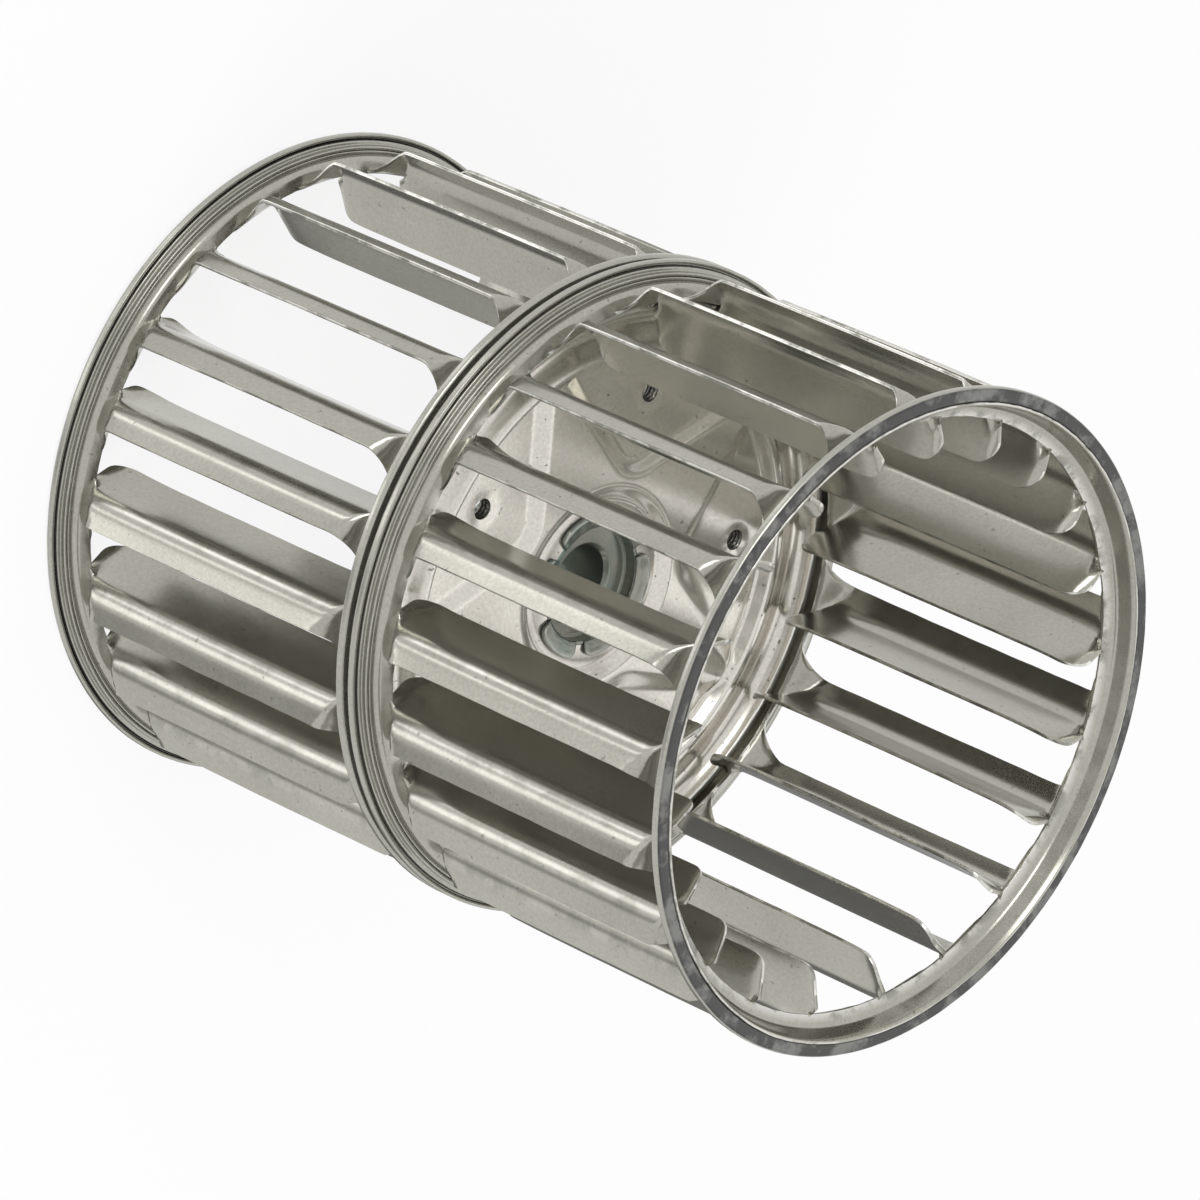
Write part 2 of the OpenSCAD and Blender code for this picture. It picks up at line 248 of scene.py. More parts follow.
def blade_rows(t_corner, t_neck, rng):
    """Closed rings of points round the sheet at each station, with the mark of each point for wear and
    for the painted highlight on the bend.
    """
    phase = rng.uniform(0, 6.28, 4)
    first = run_out(CORNER_R, t_corner - END_T)
    last = BLADE_W + run_out(FLARE_R, np.maximum(0, t_neck - NECK_START))
    # Both long edges wander a little along the blade
    first = first + 0.07 * np.sin(t_neck / 9 + phase[0]) + 0.03 * np.sin(t_neck / 2.1 + phase[1])
    last = last + 0.05 * np.sin(t_neck / 7 + phase[2]) + 0.03 * np.sin(t_neck / 1.7 + phase[3])
    inner = first[:, None] + (FLAT_IN_W - first[:, None]) * INNER_COLS
    bend = np.broadcast_to(BEND_COLS, (len(t_neck), len(BEND_COLS)))
    outer = (FLAT_IN_W + BEND_W) + (last[:, None] - FLAT_IN_W - BEND_W) * OUTER_COLS
    u = np.concatenate([inner, bend, outer], 1)
    pair = np.ones((len(t_neck), 2))
    proud = EDGE_ROUND * pair
    full = np.concatenate([u, u[:, -1:] + proud, u[:, ::-1], u[:, :1] - proud], 1)
    front = np.full_like(u, HALF)
    off = np.concatenate([front, EDGE * pair, -front, -EDGE * pair], 1)
    # Painted highlight: a lighter band along the middle of the bend, on the sheet's back face
    bend_sheen = BEND_SHEEN * np.exp(-((u - FLAT_IN_W - BEND_W * 0.5) / BEND_SHEEN_W) ** 2)
    mark = np.concatenate([np.zeros_like(u), pair, bend_sheen[:, ::-1], pair], 1)
    share = smooth((full - SLIT_U) / (FLAT_IN_W - SLIT_U))
    t = t_corner[:, None] + (t_neck - t_corner)[:, None] * share
    return full, t, off, mark


def add_blade(shell, low, high, az, rng):
    length = high - low
    lean = rng.normal(0, LEAN_SPREAD)
    az = math.radians(az + rng.normal(0, AZ_SPREAD))
    shift = rng.normal(0, BOW_SHIFT)
    half = np.linspace(BODY_T[-1], length / 2, 5)[1:]
    corner = np.concatenate([CORNER_T, BODY_T, half])
    neck = np.concatenate([NECK_T, BODY_T, half])
    halves = []
    seed = int(rng.integers(1 << 30))
    for up in (False, True):
        u, t, off, mark = blade_rows(corner, neck, np.random.default_rng(seed))
        p = blade_point(u, t, off, lean)
        z = length - t if up else t
        bow = BOW * (np.sin(math.pi * np.clip(z / length, 0, 1) + shift) - math.sin(shift))
        x, y = p[..., 0] + bow, p[..., 1]
        c, n = math.cos(az), math.sin(az)
        ring = np.stack([x * c - y * n, x * n + y * c, low + z], -1)
        halves.append((ring[::-1][1:], mark[::-1][1:]) if up else (ring, mark))
    index = shell.grid(np.concatenate([halves[0][0], halves[1][0]]), loop_cols=True,
                       mark=np.concatenate([halves[0][1], halves[1][1]]))
    for row in (index[0], index[-1]):
        rear = row[COLS + 2:2 * COLS + 2][::-1]
        shell.cap(row[:COLS], rear)
        shell.faces.append(np.array([[rear[0], row[-2], row[-1], row[0]], row[COLS - 1:COLS + 3]]))


def rounded(path, radius, steps=4):
    """The outline through the points of path, each corner rounded by its entry in radius."""
    path = [np.array(q, float) for q in path]
    out = []
    n = len(path)
    for i in range(n):
        a, b, c = path[i - 1], path[i], path[(i + 1) % n]
        r = radius[i]
        if r <= 0:
            out.append(b)
            continue
        u, v = a - b, c - b
        cut = min(r, 0.45 * np.linalg.norm(u), 0.45 * np.linalg.norm(v))
        p, q = b + u / np.linalg.norm(u) * cut, b + v / np.linalg.norm(v) * cut
        for k in range(steps + 1):
            s = k / steps
            out.append((1 - s) ** 2 * p + 2 * s * (1 - s) * b + s * s * q)
    return np.array(out)


def offset_path(path, d):
    """The open path moved sideways by d, to its left."""
    path = np.array(path, float)
    step = np.diff(path, axis=0)
    unit = step / np.linalg.norm(step, axis=1)[:, None]
    a = np.vstack([unit[:1], unit])
    b = np.vstack([unit, unit[-1:]])
    left_a = np.stack([-a[:, 1], a[:, 0]], 1)
    left_b = np.stack([-b[:, 1], b[:, 0]], 1)
    mitre = (left_a + left_b) / (1 + np.sum(a * b, 1))[:, None]
    return path + d * mitre


def revolve(shell, outline, z, up, steps, bumps=None, mark=0.0, painted_shade=0.0):
    """Turns a closed section about the axis; bumps gives changes of radius and height at an angle."""
    az = np.linspace(0, 360, steps, endpoint=False)
    r = np.broadcast_to(outline[:, 0], (steps, len(outline))).copy()
    h = np.broadcast_to(outline[:, 1], (steps, len(outline))).copy()
    if bumps is not None:
        dr, dh = bumps(np.radians(az)[:, None])
        r += dr
        h += dh
    x, y = polar(r, az[:, None])
    zz = z + (h if up else -h)
    return shell.grid(np.stack([x, y, zz], -1), loop_rows=True, loop_cols=True, mark=mark, painted_shade=painted_shade)


# Section of a drum's pressed margin: radius, and height below the end face
LIP_EDGE = (RIM_R - 6.9, -4.9)
CREASE = (RIM_R - 4.5, -4.0)
WALL_TOP = (RIM_R - 3.7, -0.9)
CROWN_IN = (RIM_R - 3.25, 0.0)
CROWN_OUT = (RIM_R - 2.8, 0.0)
CROWN_LOW = (RIM_R - 2.7, -0.4)
MARGIN_STEPS = 660
CUT_W = 0.35


def margin_outline():
    front = [LIP_EDGE, CREASE, WALL_TOP]
    back = offset_path(front, -STRIP_T)
    path = front + [CROWN_IN, CROWN_OUT, CROWN_LOW] + [tuple(q) for q in back[::-1]]
    return rounded(path, [0.12, 0.7, 0.9, 0.4, 0.12, 0.1, 0.6, 0.7, 0.12], 4)


def add_margin(shell, z, up, seed):
    outline = margin_outline()
    edge = np.exp(-((outline[:, 0] - LIP_EDGE[0] - 0.15) / CUT_W) ** 2)
    flange = smooth((outline[:, 0] - CROWN_IN[0]) / CUT_W) * (outline[:, 1] > -0.6)

    def bumps(a):
        ragged = 0.1 * wave(seed, a, 7, 5) + 0.05 * wave(seed + 1, a, 5, 60)
        burr = 0.1 * wave(seed + 2, a, 6, 7) + 0.05 * wave(seed + 3, a, 4, 80)
        sway = 0.06 * wave(seed + 4, a, 3, 2)
        dr = edge * burr + flange * ragged + sway * edge
        dh = edge * 0.18 * wave(seed + 5, a, 5, 9) - flange * 0.05 * np.abs(ragged) / 0.1
        return dr, dh

    mark = np.broadcast_to(np.maximum(edge, 0.8 * flange), (MARGIN_STEPS, len(outline)))
    revolve(shell, outline, z, up, MARGIN_STEPS, bumps, mark)


# Degrees by which single blades stand off the even pitch
NEAR_UNEVEN = {0: -1.3, 20: -1.3, 7: 1.3, 8: 1.0, 9: 1.0, 10: 0.6, 11: 0.6, 12: 0.6, 13: 0.5}
FAR_UNEVEN = {0: -1.2, 1: -1.0}


def strip(name, node, low, high, phase, seed, uneven):
    shell = Shell()
    rng = np.random.default_rng(seed)
    add_margin(shell, high, True, seed + 10)
    add_margin(shell, low, False, seed + 20)
    for i in range(BLADE_N):
        add_blade(shell, low, high, phase + i * 360 / BLADE_N + uneven.get(i, 0.0), rng)
    obj = shell.build(name, weld=True, sharp=50)
    finish_piece(obj, "strip_steel", node)
    return obj


# Rings

LAYER_T = 0.8
GROOVE_W = 0.5
LIP_H = 1.9
GROOVE_TOP = -0.9
TOP_R = RIM_R - 0.02
HEM_H = 3.3
MID_LAYER_H = 2.1
SEAM_W = 0.09
SEAM_H = 0.5

# A ring's outer face in section: its inner and outer end, and the end of its rounded corner
FACE_IN = (RIM_R - 2.45, -0.15)
FACE_OUT = (RIM_R - 0.35, -0.25)
FACE_CORNER = (TOP_R, -0.75)
RING_STEPS = 600


def back_wall(depth):
    """Point on the outer side of the margin's wall at a depth below the end face."""
    back = offset_path([LIP_EDGE, CREASE, WALL_TOP], -STRIP_T)
    a, b = back[1], back[2]
    return a + (b - a) * (-depth - a[1]) / (b[1] - a[1])


def ring_outline():
    out_gap = RIM_R - LAYER_T
    in_gap = out_gap - GROOVE_W
    mid_in = in_gap - LAYER_T
    hem_w = mid_in - back_wall(HEM_H)[0]
    seam = mid_in - hem_w / 2
    wall = back_wall(HEM_H)
    path = [wall, back_wall(0.2 - WALL_TOP[1]), CROWN_LOW, FACE_IN, FACE_OUT, FACE_CORNER,
            (TOP_R, -LIP_H), (out_gap, -LIP_H), (out_gap, GROOVE_TOP), (in_gap, GROOVE_TOP),
            (in_gap, -MID_LAYER_H), (mid_in, -MID_LAYER_H), (mid_in, -HEM_H), (seam + SEAM_W, -HEM_H),
            (seam, -HEM_H + SEAM_H), (seam - SEAM_W, -HEM_H)]
    size = [0.25, 0.1, 0.1, 0.15, 0.5, 0.6, 0.4, 0.4, 0.25, 0.25, 0.4, 0.2, 0.35, 0.3, 0, 0.3]
    return rounded(path, size, 4)


def ring(name, node, z, up, seed, smudge):
    shell = Shell()
    outline = ring_outline()
    lip = smooth((outline[:, 0] - RIM_R + 1.2) / 0.6)
    face = smooth((outline[:, 1] + 0.55) / 0.2)

    def bumps(a):
        dent = 0.05 * wave(seed, a, 5, 3) + 0.025 * wave(seed + 1, a, 5, 40)
        dr = -np.abs(dent) * lip * 0.8
        dh = -np.abs(0.06 * wave(seed + 2, a, 6, 11)) * face * lip
        dh = dh + 0.05 * wave(seed + 3, a, 5, 6) * (1 - face)
        return dr, dh

    mark = np.broadcast_to(face * smudge, (RING_STEPS, len(outline)))
    # Painted shade in the groove between the outer and the mid layer, deeper on the smudged end rings
    inward = RIM_R - LAYER_T - outline[:, 0]
    groove = (inward > -0.05) & (inward < GROOVE_W + 0.05)
    painted_shade = (groove & (outline[:, 1] > -1.5) & (outline[:, 1] < -0.8)) * (0.3 + 0.5 * smudge)
    revolve(shell, outline, z, up, RING_STEPS, bumps, mark, np.broadcast_to(painted_shade, mark.shape))
    obj = shell.build(name, sharp=40)
    finish_piece(obj, "ring_steel", node)
    return obj


# Centre plate

PLATE_T = 0.8
PAD_Z = 0.2
STAR_Z = PAD_Z + 1.0
CREST_Z = PAD_Z + 2.7
SEAT_Z = -0.2
SEAT_R = 16.6
CREST_R = 46.5
PAD_HALF = 55.0
PAD_TIP = 21.3
PAD_ROUND = 7.0
SLOPE_W = 4.2
BOLT_R = 37.5
TAP_R = 2.0
TAP_AZ = 353.5
TAP_N = 5
TAP_PITCH = 360 / TAP_N
HOLE_R = 12.0
HEM_OUT = RIM_R - 7.1
HEM_IN = HEM_OUT - 2 * PLATE_T
HEM_TOP = JOINT_Z + 4
CLAMP_R = RIM_R - 2.75
BAND_Z = 1.5


def spline(points, step):
    """Catmull-Rom curve through the points, sampled about every step."""
    p = np.array(points, float)
    p = np.vstack([2 * p[0] - p[1], p, 2 * p[-1] - p[-2]])
    out = []
    for i in range(1, len(p) - 2):
        n = max(2, int(np.linalg.norm(p[i + 1] - p[i]) / step))
        s = np.arange(n)[:, None] / n
        a, b, c, d = p[i - 1], p[i], p[i + 1], p[i + 2]
        square = (2 * a - 5 * b + 4 * c - d) * s ** 2
        cube = (3 * b - a - 3 * c + d) * s ** 3
        out.append(0.5 * (2 * b + (c - a) * s + square + cube))
    out.append(p[-2][None])
    return np.vstack(out)


# The plate's wave near its rim, from the star's flat over the crest to the hem
RIM_PATH = [(44.3, STAR_Z), (45.1, STAR_Z + 0.35), (46.1, CREST_Z - 0.25), (46.9, CREST_Z),
            (48.0, CREST_Z - 0.2), (49.6, 2.05), (51.2, BAND_Z), (52.6, 1.55), (53.8, 2.2),
            (54.6, 3.3), (HEM_IN, HEM_TOP - 0.4)]
PLATE_STEPS = 440
SEAT_SLOPE = 3.1
SLOPE_END = 20.4
STAR_END = 43.8
PAD_END = 44.6
PAD_FADE = 1.5
DIMPLE_H = 0.22
DIMPLE_W = 1.1


def from_tap(r, az):
    """The point as x and y along its nearest tap's radius, and its azimuth from that radius."""
    turn = (az - TAP_AZ + TAP_PITCH / 2) % TAP_PITCH - TAP_PITCH / 2
    return (*polar(r, turn), turn)


def pad_distance(r, az):
    """Distance inside the V outline of the nearest pad; negative outside."""
    x, y, _ = from_tap(r, az)
    y = np.abs(y)
    tip = PAD_TIP + PAD_ROUND / math.sin(math.radians(PAD_HALF))
    dx, dy = math.cos(math.radians(PAD_HALF)), math.sin(math.radians(PAD_HALF))
    along = (x - tip) * dx + y * dy
    across = -(x - tip) * dy + y * dx
    out = np.where(along > 0, across, np.where(across > 0, np.hypot(x - tip, y), across))
    return PAD_ROUND - out


def plate_height(r, az, base):
    """Height of the pressed top face over the revolved one."""
    depth = smooth((pad_distance(r, az) + SLOPE_W / 2) / SLOPE_W)
    inside = 1 - smooth((r - PAD_END) / PAD_FADE)
    z = base - depth * inside * (STAR_Z - PAD_Z)
    x, y, _ = from_tap(r, az)
    d = np.hypot(x - BOLT_R, y)
    return z - DIMPLE_H * np.exp(-((d - TAP_R) / DIMPLE_W) ** 2)


def plate_outline():
    """The plate's closed radial section, and which points are on the sheet and not on the hem."""
    inner = [(HOLE_R, SEAT_Z), (14.4, SEAT_Z), (SEAT_R - 0.5, SEAT_Z), (SEAT_R - 0.1, SEAT_Z - 0.15),
             (SEAT_R + 0.2, SEAT_Z + 0.05)]
    foot_r, foot_z = inner[-1]
    rise = STAR_Z - foot_z
    for s in np.linspace(0, 1, 9)[1:]:
        inner.append((foot_r + SEAT_SLOPE * s, foot_z + rise * float(smooth(s))))
    flat = [(r, STAR_Z) for r in np.linspace(SLOPE_END, STAR_END, 46)]
    rim = spline(RIM_PATH, 0.35).tolist()
    top = np.array(inner + flat + rim)
    hem = rounded([(HEM_IN, HEM_TOP - 0.4), (HEM_IN + 0.05, HEM_TOP), (HEM_OUT, HEM_TOP),
                   (HEM_OUT, NEAR_Z + 0.3), (HEM_OUT + 0.3, NEAR_Z), (CLAMP_R, NEAR_Z),
                   (CLAMP_R, FAR_Z), (HEM_OUT - 0.4, FAR_Z),
                   (HEM_OUT - PLATE_T, FAR_Z + 0.4), (HEM_OUT - PLATE_T, BAND_Z + 0.2)],
                  [0, 0.45, 0.45, 0.2, 0.2, 0, 0, 0.2, 0.2, 0], 3)[1:]
    under = offset_path(top, -PLATE_T)[::-1]
    under = under[under[:, 0] > HOLE_R - 0.01]
    under = under[under[:, 0] < HEM_IN - 0.1]
    sheet = np.ones(len(top) + len(hem) + len(under), bool)
    sheet[len(top):len(top) + len(hem)] = False
    return np.vstack([top, hem, under]), sheet


def open_taps(r, az, sheet):
    """Vertices, with those round each tap moved onto its circle, and which faces cover no tap."""
    tx, ty, turn = from_tap(r, az)
    d = np.hypot(tx - BOLT_R, ty)
    near = sheet & (d < TAP_R + 0.1)
    gone = near | np.roll(near, -1, 0)
    gone = gone | np.roll(gone, -1, 1)
    touched = gone | np.roll(gone, 1, 0)
    touched = touched | np.roll(touched, 1, 1)
    snap = sheet & (d < TAP_R + 1.2) & touched
    scale = (TAP_R + 0.05) / np.maximum(d, 1e-6)
    nx, ny = BOLT_R + (tx - BOLT_R) * scale, ty * scale
    back = np.radians(az - turn)
    x, y = polar(r, az)
    x = np.where(snap, nx * np.cos(back) - ny * np.sin(back), x)
    y = np.where(snap, nx * np.sin(back) + ny * np.cos(back), y)
    return x, y, ~gone


def plate():
    shell = Shell()
    outline, sheet = plate_outline()
    r = np.broadcast_to(outline[:, 0], (PLATE_STEPS, len(outline)))
    base = np.broadcast_to(outline[:, 1], r.shape)
    az = np.broadcast_to(np.linspace(0, 360, PLATE_STEPS, endpoint=False)[:, None], r.shape)
    z = np.where(sheet, plate_height(r, az, base), base)
    z = z + 0.05 * wave(71, np.radians(az), 4, 2) * smooth((r - 20) / 10) * (1 - smooth((r - 50) / 6))
    x, y, kept = open_taps(r, az, sheet)
    # Painted highlight: a lighter line along the crest of the plate's rim
    crest = np.exp(-((r - CREST_R) / 0.35) ** 2) * sheet
    edge = ~sheet * (base > HEM_TOP - 0.5) * np.ones_like(r)
    # Painted shade: a dark ring on the plate just outside the lugs' tips, where they press on it
    painted_shade = 0.75 * np.exp(-((r - LUG_R - 0.2) / 0.45) ** 2) * (z > SEAT_Z - 0.5)
    shell.grid(np.stack([x, y, z], -1), loop_rows=True, loop_cols=True,
               mark=np.maximum(0.6 * crest, edge), painted_shade=painted_shade, keep=kept)
    for i in range(TAP_N):
        add_tap(shell, TAP_AZ + i * TAP_PITCH)
    obj = shell.build("pressed_centre_plate", sharp=32)
    finish_piece(obj, "plate_steel", "centre_plate")
    return obj


THREAD_PITCH = 0.8
THREAD_H = 0.22
THREAD_CREST = 0.12
THREAD_LEAD = 0.14
THREAD_ROWS = 34
TAP_DEPTH = 2.2
TAP_STEPS = 48


def add_tap(shell, az):
    """Extruded collar with its thread, open at both ends."""
    turns = np.linspace(0, 2 * math.pi, TAP_STEPS, endpoint=False)

    def circle(r, z):
        return np.stack([r * np.cos(turns), r * np.sin(turns), np.full(TAP_STEPS, z)], -1)

    top, low = PAD_Z - DIMPLE_H, PAD_Z - PLATE_T - TAP_DEPTH
    rows = []
    painted_shade = []
    for q in np.linspace(0, 1, THREAD_ROWS):
        z = top + (low - top) * q
        phase = (z / THREAD_PITCH - turns / (2 * math.pi)) % 1
        ridge = 1 - np.abs(2 * phase - 1)
        lead = THREAD_LEAD * np.exp(-q * THREAD_ROWS / 1.5)
        rows.append(circle(TAP_R - THREAD_CREST + THREAD_H * (1 - ridge) + lead, z))
        # Painted shade inside the tapped hole, darkest in the thread's roots
        painted_shade.append(0.55 + 0.4 * (1 - ridge))
    collar = [(0.3, low - 0.1), (0.8, low), (1.0, low + 0.3), (1.0, PAD_Z - 0.6)]
    for wall, z in collar:
        rows.append(circle(TAP_R + wall, z))
        painted_shade.append(np.zeros(TAP_STEPS))
    p = np.array(rows)
    p[..., 0] += BOLT_R
    c, s = math.cos(math.radians(az)), math.sin(math.radians(az))
    x = p[..., 0] * c - p[..., 1] * s
    y = p[..., 0] * s + p[..., 1] * c
    shell.grid(np.stack([x, y, p[..., 2]], -1), loop_cols=True, painted_shade=np.array(painted_shade))


# Hub

BORE_R = 6.35
BARREL_R = 11.5
RECESS_R = 11.2
RECESS_Z = -2.8
CHAMFER = 0.85
HUB_LOW = RECESS_Z - 22
UNDER_PLATE = SEAT_Z - PLATE_T
SHOULDER_R = 16.0
SHOULDER_H = 2.4
COLLAR_R = 12.0
LUG_R = 14.6
LUG_H = 1.1
LUG_SPAN = 50.0
LUG_N = 6
LUG_AZ = 18
HUB_STEPS = 180

# A lug's section from root to tip: share of its reach, and share of its height
LUG_REACH = np.array([0, 0.02, 0.08, 0.2, 0.36, 0.5, 0.62, 0.74,
                      0.84, 0.91, 0.96, 0.99, 1, 0.985, 0.94])
LUG_RISE = np.array([-1.2, 0.05, 0.3, 0.5, 0.62, 0.7, 0.8, 0.9,
                     0.97, 0.95, 0.82, 0.6, 0.35, 0.12, -0.1])


def add_lug(shell, az, rng):
    """One staked lug: metal of the collar pressed out over the plate, with rounded ends."""
    span = LUG_SPAN + rng.normal(0, 1.2)
    reach = LUG_R + rng.normal(0, 0.12)
    w = np.linspace(-1, 1, 41)
    round_end = (1 - np.abs(w) ** 5) ** 0.4
    r = RECESS_R + (reach - RECESS_R) * LUG_REACH[None, :] * (0.25 + 0.75 * round_end[:, None])
    rise = LUG_RISE[None, :]
    z = SEAT_Z + LUG_H * np.where(rise > 0, rise * (0.35 + 0.65 * round_end[:, None]), rise)
    z = z + 0.05 * np.sin(w[:, None] * 7 + rng.uniform(0, 6)) * (rise > 0.3)
    a = np.radians(az + w * span / 2)[:, None]
    p = np.stack([r * np.cos(a), r * np.sin(a), z], -1)
    tip = np.exp(-((LUG_REACH - 0.86) / 0.12) ** 2)
    # Painted shade where the lug meets the hub and the plate: its root, the foot of its tip and its
    # two ends
    root = np.where(LUG_RISE < 0.25, 0.9, 0.0)
    ends = np.clip((np.abs(w) - 0.93) / 0.05, 0, 1) * 0.9
    painted_shade = np.maximum(np.broadcast_to(root[None, :], r.shape), ends[:, None])
    shell.grid(p, mark=np.broadcast_to(0.5 * tip, r.shape), painted_shade=painted_shade)


def hub():
    shell = Shell()
    below = UNDER_PLATE - SHOULDER_H
    path = [(BORE_R, HUB_LOW + CHAMFER), (BORE_R + CHAMFER, HUB_LOW), (BARREL_R, HUB_LOW),
            (BARREL_R, below), (SHOULDER_R, below), (SHOULDER_R, UNDER_PLATE), (COLLAR_R, UNDER_PLATE),
            (COLLAR_R, SEAT_Z + 0.1), (RECESS_R, SEAT_Z + 0.1), (RECESS_R, RECESS_Z + 0.25),
            (RECESS_R - 0.35, RECESS_Z + 0.25), (RECESS_R - 0.5, RECESS_Z),
            (BORE_R + CHAMFER, RECESS_Z), (BORE_R, RECESS_Z - CHAMFER)]
    outline = rounded(path, [0.1, 0.1, 0.5, 0.3, 0.4, 0.2, 0, 0.2, 0.2, 0.15, 0.1, 0.1, 0.15, 0.15], 3)
    revolve(shell, outline, 0.0, True, HUB_STEPS)
    rng = np.random.default_rng(5)
    for i in range(LUG_N):
        add_lug(shell, LUG_AZ + i * 360 / LUG_N, rng)
    obj = shell.build("staked_hub", sharp=40)
    finish_piece(obj, "zinc_plated_hub", "hub")
    return obj


# Materials

def ramp(tree, source, stops):
    """A colour ramp over source; each stop is a place and a grey."""
    node = tree.nodes.new("ShaderNodeValToRGB")
    while len(node.color_ramp.elements) < len(stops):
        node.color_ramp.elements.new(0.5)
    for element, (at, value) in zip(node.color_ramp.elements, stops):
        element.position = at
        element.color = (value, value, value, 1)
    tree.links.new(source, node.inputs[0])
    return node.outputs[0]


def noise(tree, coords, scale, detail, rough):
    node = tree.nodes.new("ShaderNodeTexNoise")
    node.inputs["Scale"].default_value = scale
    node.inputs["Detail"].default_value = detail
    node.inputs["Roughness"].default_value = rough
    tree.links.new(coords, node.inputs["Vector"])
    return node.outputs["Fac"]


def mixed(tree, factor, a, b, mode="MIX"):
    """Mixes two colours; each input is a socket, a colour, or a plain factor."""
    node = tree.nodes.new("ShaderNodeMix")
    node.data_type = "RGBA"
    node.blend_type = mode
    for socket, value in ((node.inputs[0], factor), (node.inputs[6], a), (node.inputs[7], b)):
        if isinstance(value, bpy.types.NodeSocket):
            tree.links.new(value, socket)
        elif isinstance(value, (int, float)):
            socket.default_value = value
        else:
            socket.default_value = (*value, 1)
    return node.outputs[2]


METAL_SHARE = 0.88
# Near-black colour of the painted shade in grooves, threads and round the hub's lugs
SHADE_BLACK = (0.012, 0.012, 0.012)
SPECK = (0.05, 0.045, 0.04)
RELIEF = 0.01 * MM


def metal(name, colour, worn_and_sheen, rough, cloudy=0.1, tint=None, bump=0.3, patched=None, speck=0.0):
    """Sheet metal: soft clouds, fine grain, worn edges and painted highlights, painted shade in the
    creases and a few specks.
    """
    material = bpy.data.materials.new(name)
    material.use_nodes = True
    tree = material.node_tree
    tree.nodes.clear()
    out = tree.nodes.new("ShaderNodeOutputMaterial")
    bsdf = tree.nodes.new("ShaderNodeBsdfPrincipled")
    bsdf.inputs["Metallic"].default_value = METAL_SHARE
    tree.links.new(bsdf.outputs[0], out.inputs[0])
    coords = tree.nodes.new("ShaderNodeTexCoord").outputs["Object"]
    wear_and_sheen = tree.nodes.new("ShaderNodeAttribute")
    wear_and_sheen.attribute_name = "wear_and_sheen"
    painted_shade = tree.nodes.new("ShaderNodeAttribute")
    painted_shade.attribute_name = "painted_shade"
    cloud = ramp(tree, noise(tree, coords, 45, 3, 0.5), [(0.35, 0.0), (0.7, 1.0)])
    base = mixed(tree, cloud, colour, tuple(c * (1 - cloudy) for c in colour))
    grain = ramp(tree, noise(tree, coords, 1500, 2, 0.5), [(0.3, 0.93), (0.7, 1.06)])
    base = mixed(tree, 1.0, base, grain, "MULTIPLY")
    if tint is not None:
        patch = ramp(tree, noise(tree, coords, 120, 2, 0.5), [(0.4, 0.0), (0.7, 1.0)])
        base = mixed(tree, patch, base, tint)
    if patched is not None:
        blot = ramp(tree, noise(tree, coords, 170, 5, 0.6), [(0.47, 0.0), (0.6, 1.0)])
        worn_and_sheen = mixed(tree, blot, worn_and_sheen, patched)
    # The worn colour goes on worn edges and smudges, and on the painted highlights of the bends and
    # the plate's crest
    base = mixed(tree, wear_and_sheen.outputs["Fac"], base, worn_and_sheen)
    # Painted shade darkens the creases and recesses
    base = mixed(tree, painted_shade.outputs["Fac"], base, SHADE_BLACK)
    if speck:
        dots = ramp(tree, noise(tree, coords, 900, 1, 0.4), [(0.73, 0.0), (0.77, speck)])
        base = mixed(tree, dots, base, SPECK)
    tree.links.new(base, bsdf.inputs["Base Color"])
    spread = ramp(tree, noise(tree, coords, 70, 4, 0.6), [(0.3, rough - 0.03), (0.75, rough + 0.04)])
    tree.links.new(spread, bsdf.inputs["Roughness"])
    relief = tree.nodes.new("ShaderNodeBump")
    relief.inputs["Strength"].default_value = bump
    relief.inputs["Distance"].default_value = RELIEF
    tree.links.new(noise(tree, coords, 700, 3, 0.5), relief.inputs["Height"])
    tree.links.new(relief.outputs[0], bsdf.inputs["Normal"])
    return material


# One for each slot: base colour, colour where worn and where a highlight is painted, and roughness
MATERIALS = {
    "strip_steel": metal("zinc_coated_strip", (0.42, 0.412, 0.36), (0.68, 0.67, 0.63), 0.2,
                         speck=0.35, bump=0.5, patched=(0.28, 0.28, 0.25)),
    "ring_steel": metal("smudged_ring", (0.42, 0.415, 0.37), (0.075, 0.075, 0.074), 0.27,
                        patched=(0.19, 0.19, 0.18)),
    "plate_steel": metal("pressed_plate", (0.69, 0.662, 0.6), (0.85, 0.84, 0.8), 0.2,
                         cloudy=0.06, speck=0.6),
    "zinc_plated_hub": metal("zinc_plated_hub", (0.3, 0.3, 0.262), (0.6, 0.62, 0.58), 0.2,
                             tint=(0.2, 0.25, 0.22)),
    "screw_steel": metal("dark_screw", (0.1, 0.1, 0.105), (0.3, 0.3, 0.3), 0.35),
}


def finish_piece(obj, slot, node):
    obj.data.materials.clear()
    obj.data.materials.append(MATERIALS[slot])
    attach(obj, "root")
    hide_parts(node)


def build_wheel():
    strip("blade_drum_near", "blade_strip_near", NEAR_Z, END_Z, NEAR_PHASE, 100, NEAR_UNEVEN)
    strip("blade_drum_far", "blade_strip_far", -END_Z, FAR_Z, FAR_PHASE, 200, FAR_UNEVEN)
    ring("rolled_end_ring_near", "end_ring_near", END_Z, True, 300, 1.0)
    ring("rolled_end_ring_far", "end_ring_far", -END_Z, False, 310, 1.0)
    ring("rolled_mid_ring_near", "mid_ring_near", NEAR_Z, False, 320, 0.0)
    ring("rolled_mid_ring_far", "mid_ring_far", FAR_Z, True, 330, 0.0)
    plate()
    hub()
    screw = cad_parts["set_screw"]
    screw.data.materials.clear()
    screw.data.materials.append(MATERIALS["screw_steel"])


# Stage: floor, light and camera

FLOOR_HALF = 6.0
FLOOR_DROP = 0.2 * MM
FLOOR_GREY = (0.85, 0.85, 0.85)
FLOOR_GLOW = 0.86
WHITE = (1, 1, 1)
ROOM_LIGHT = 0.75


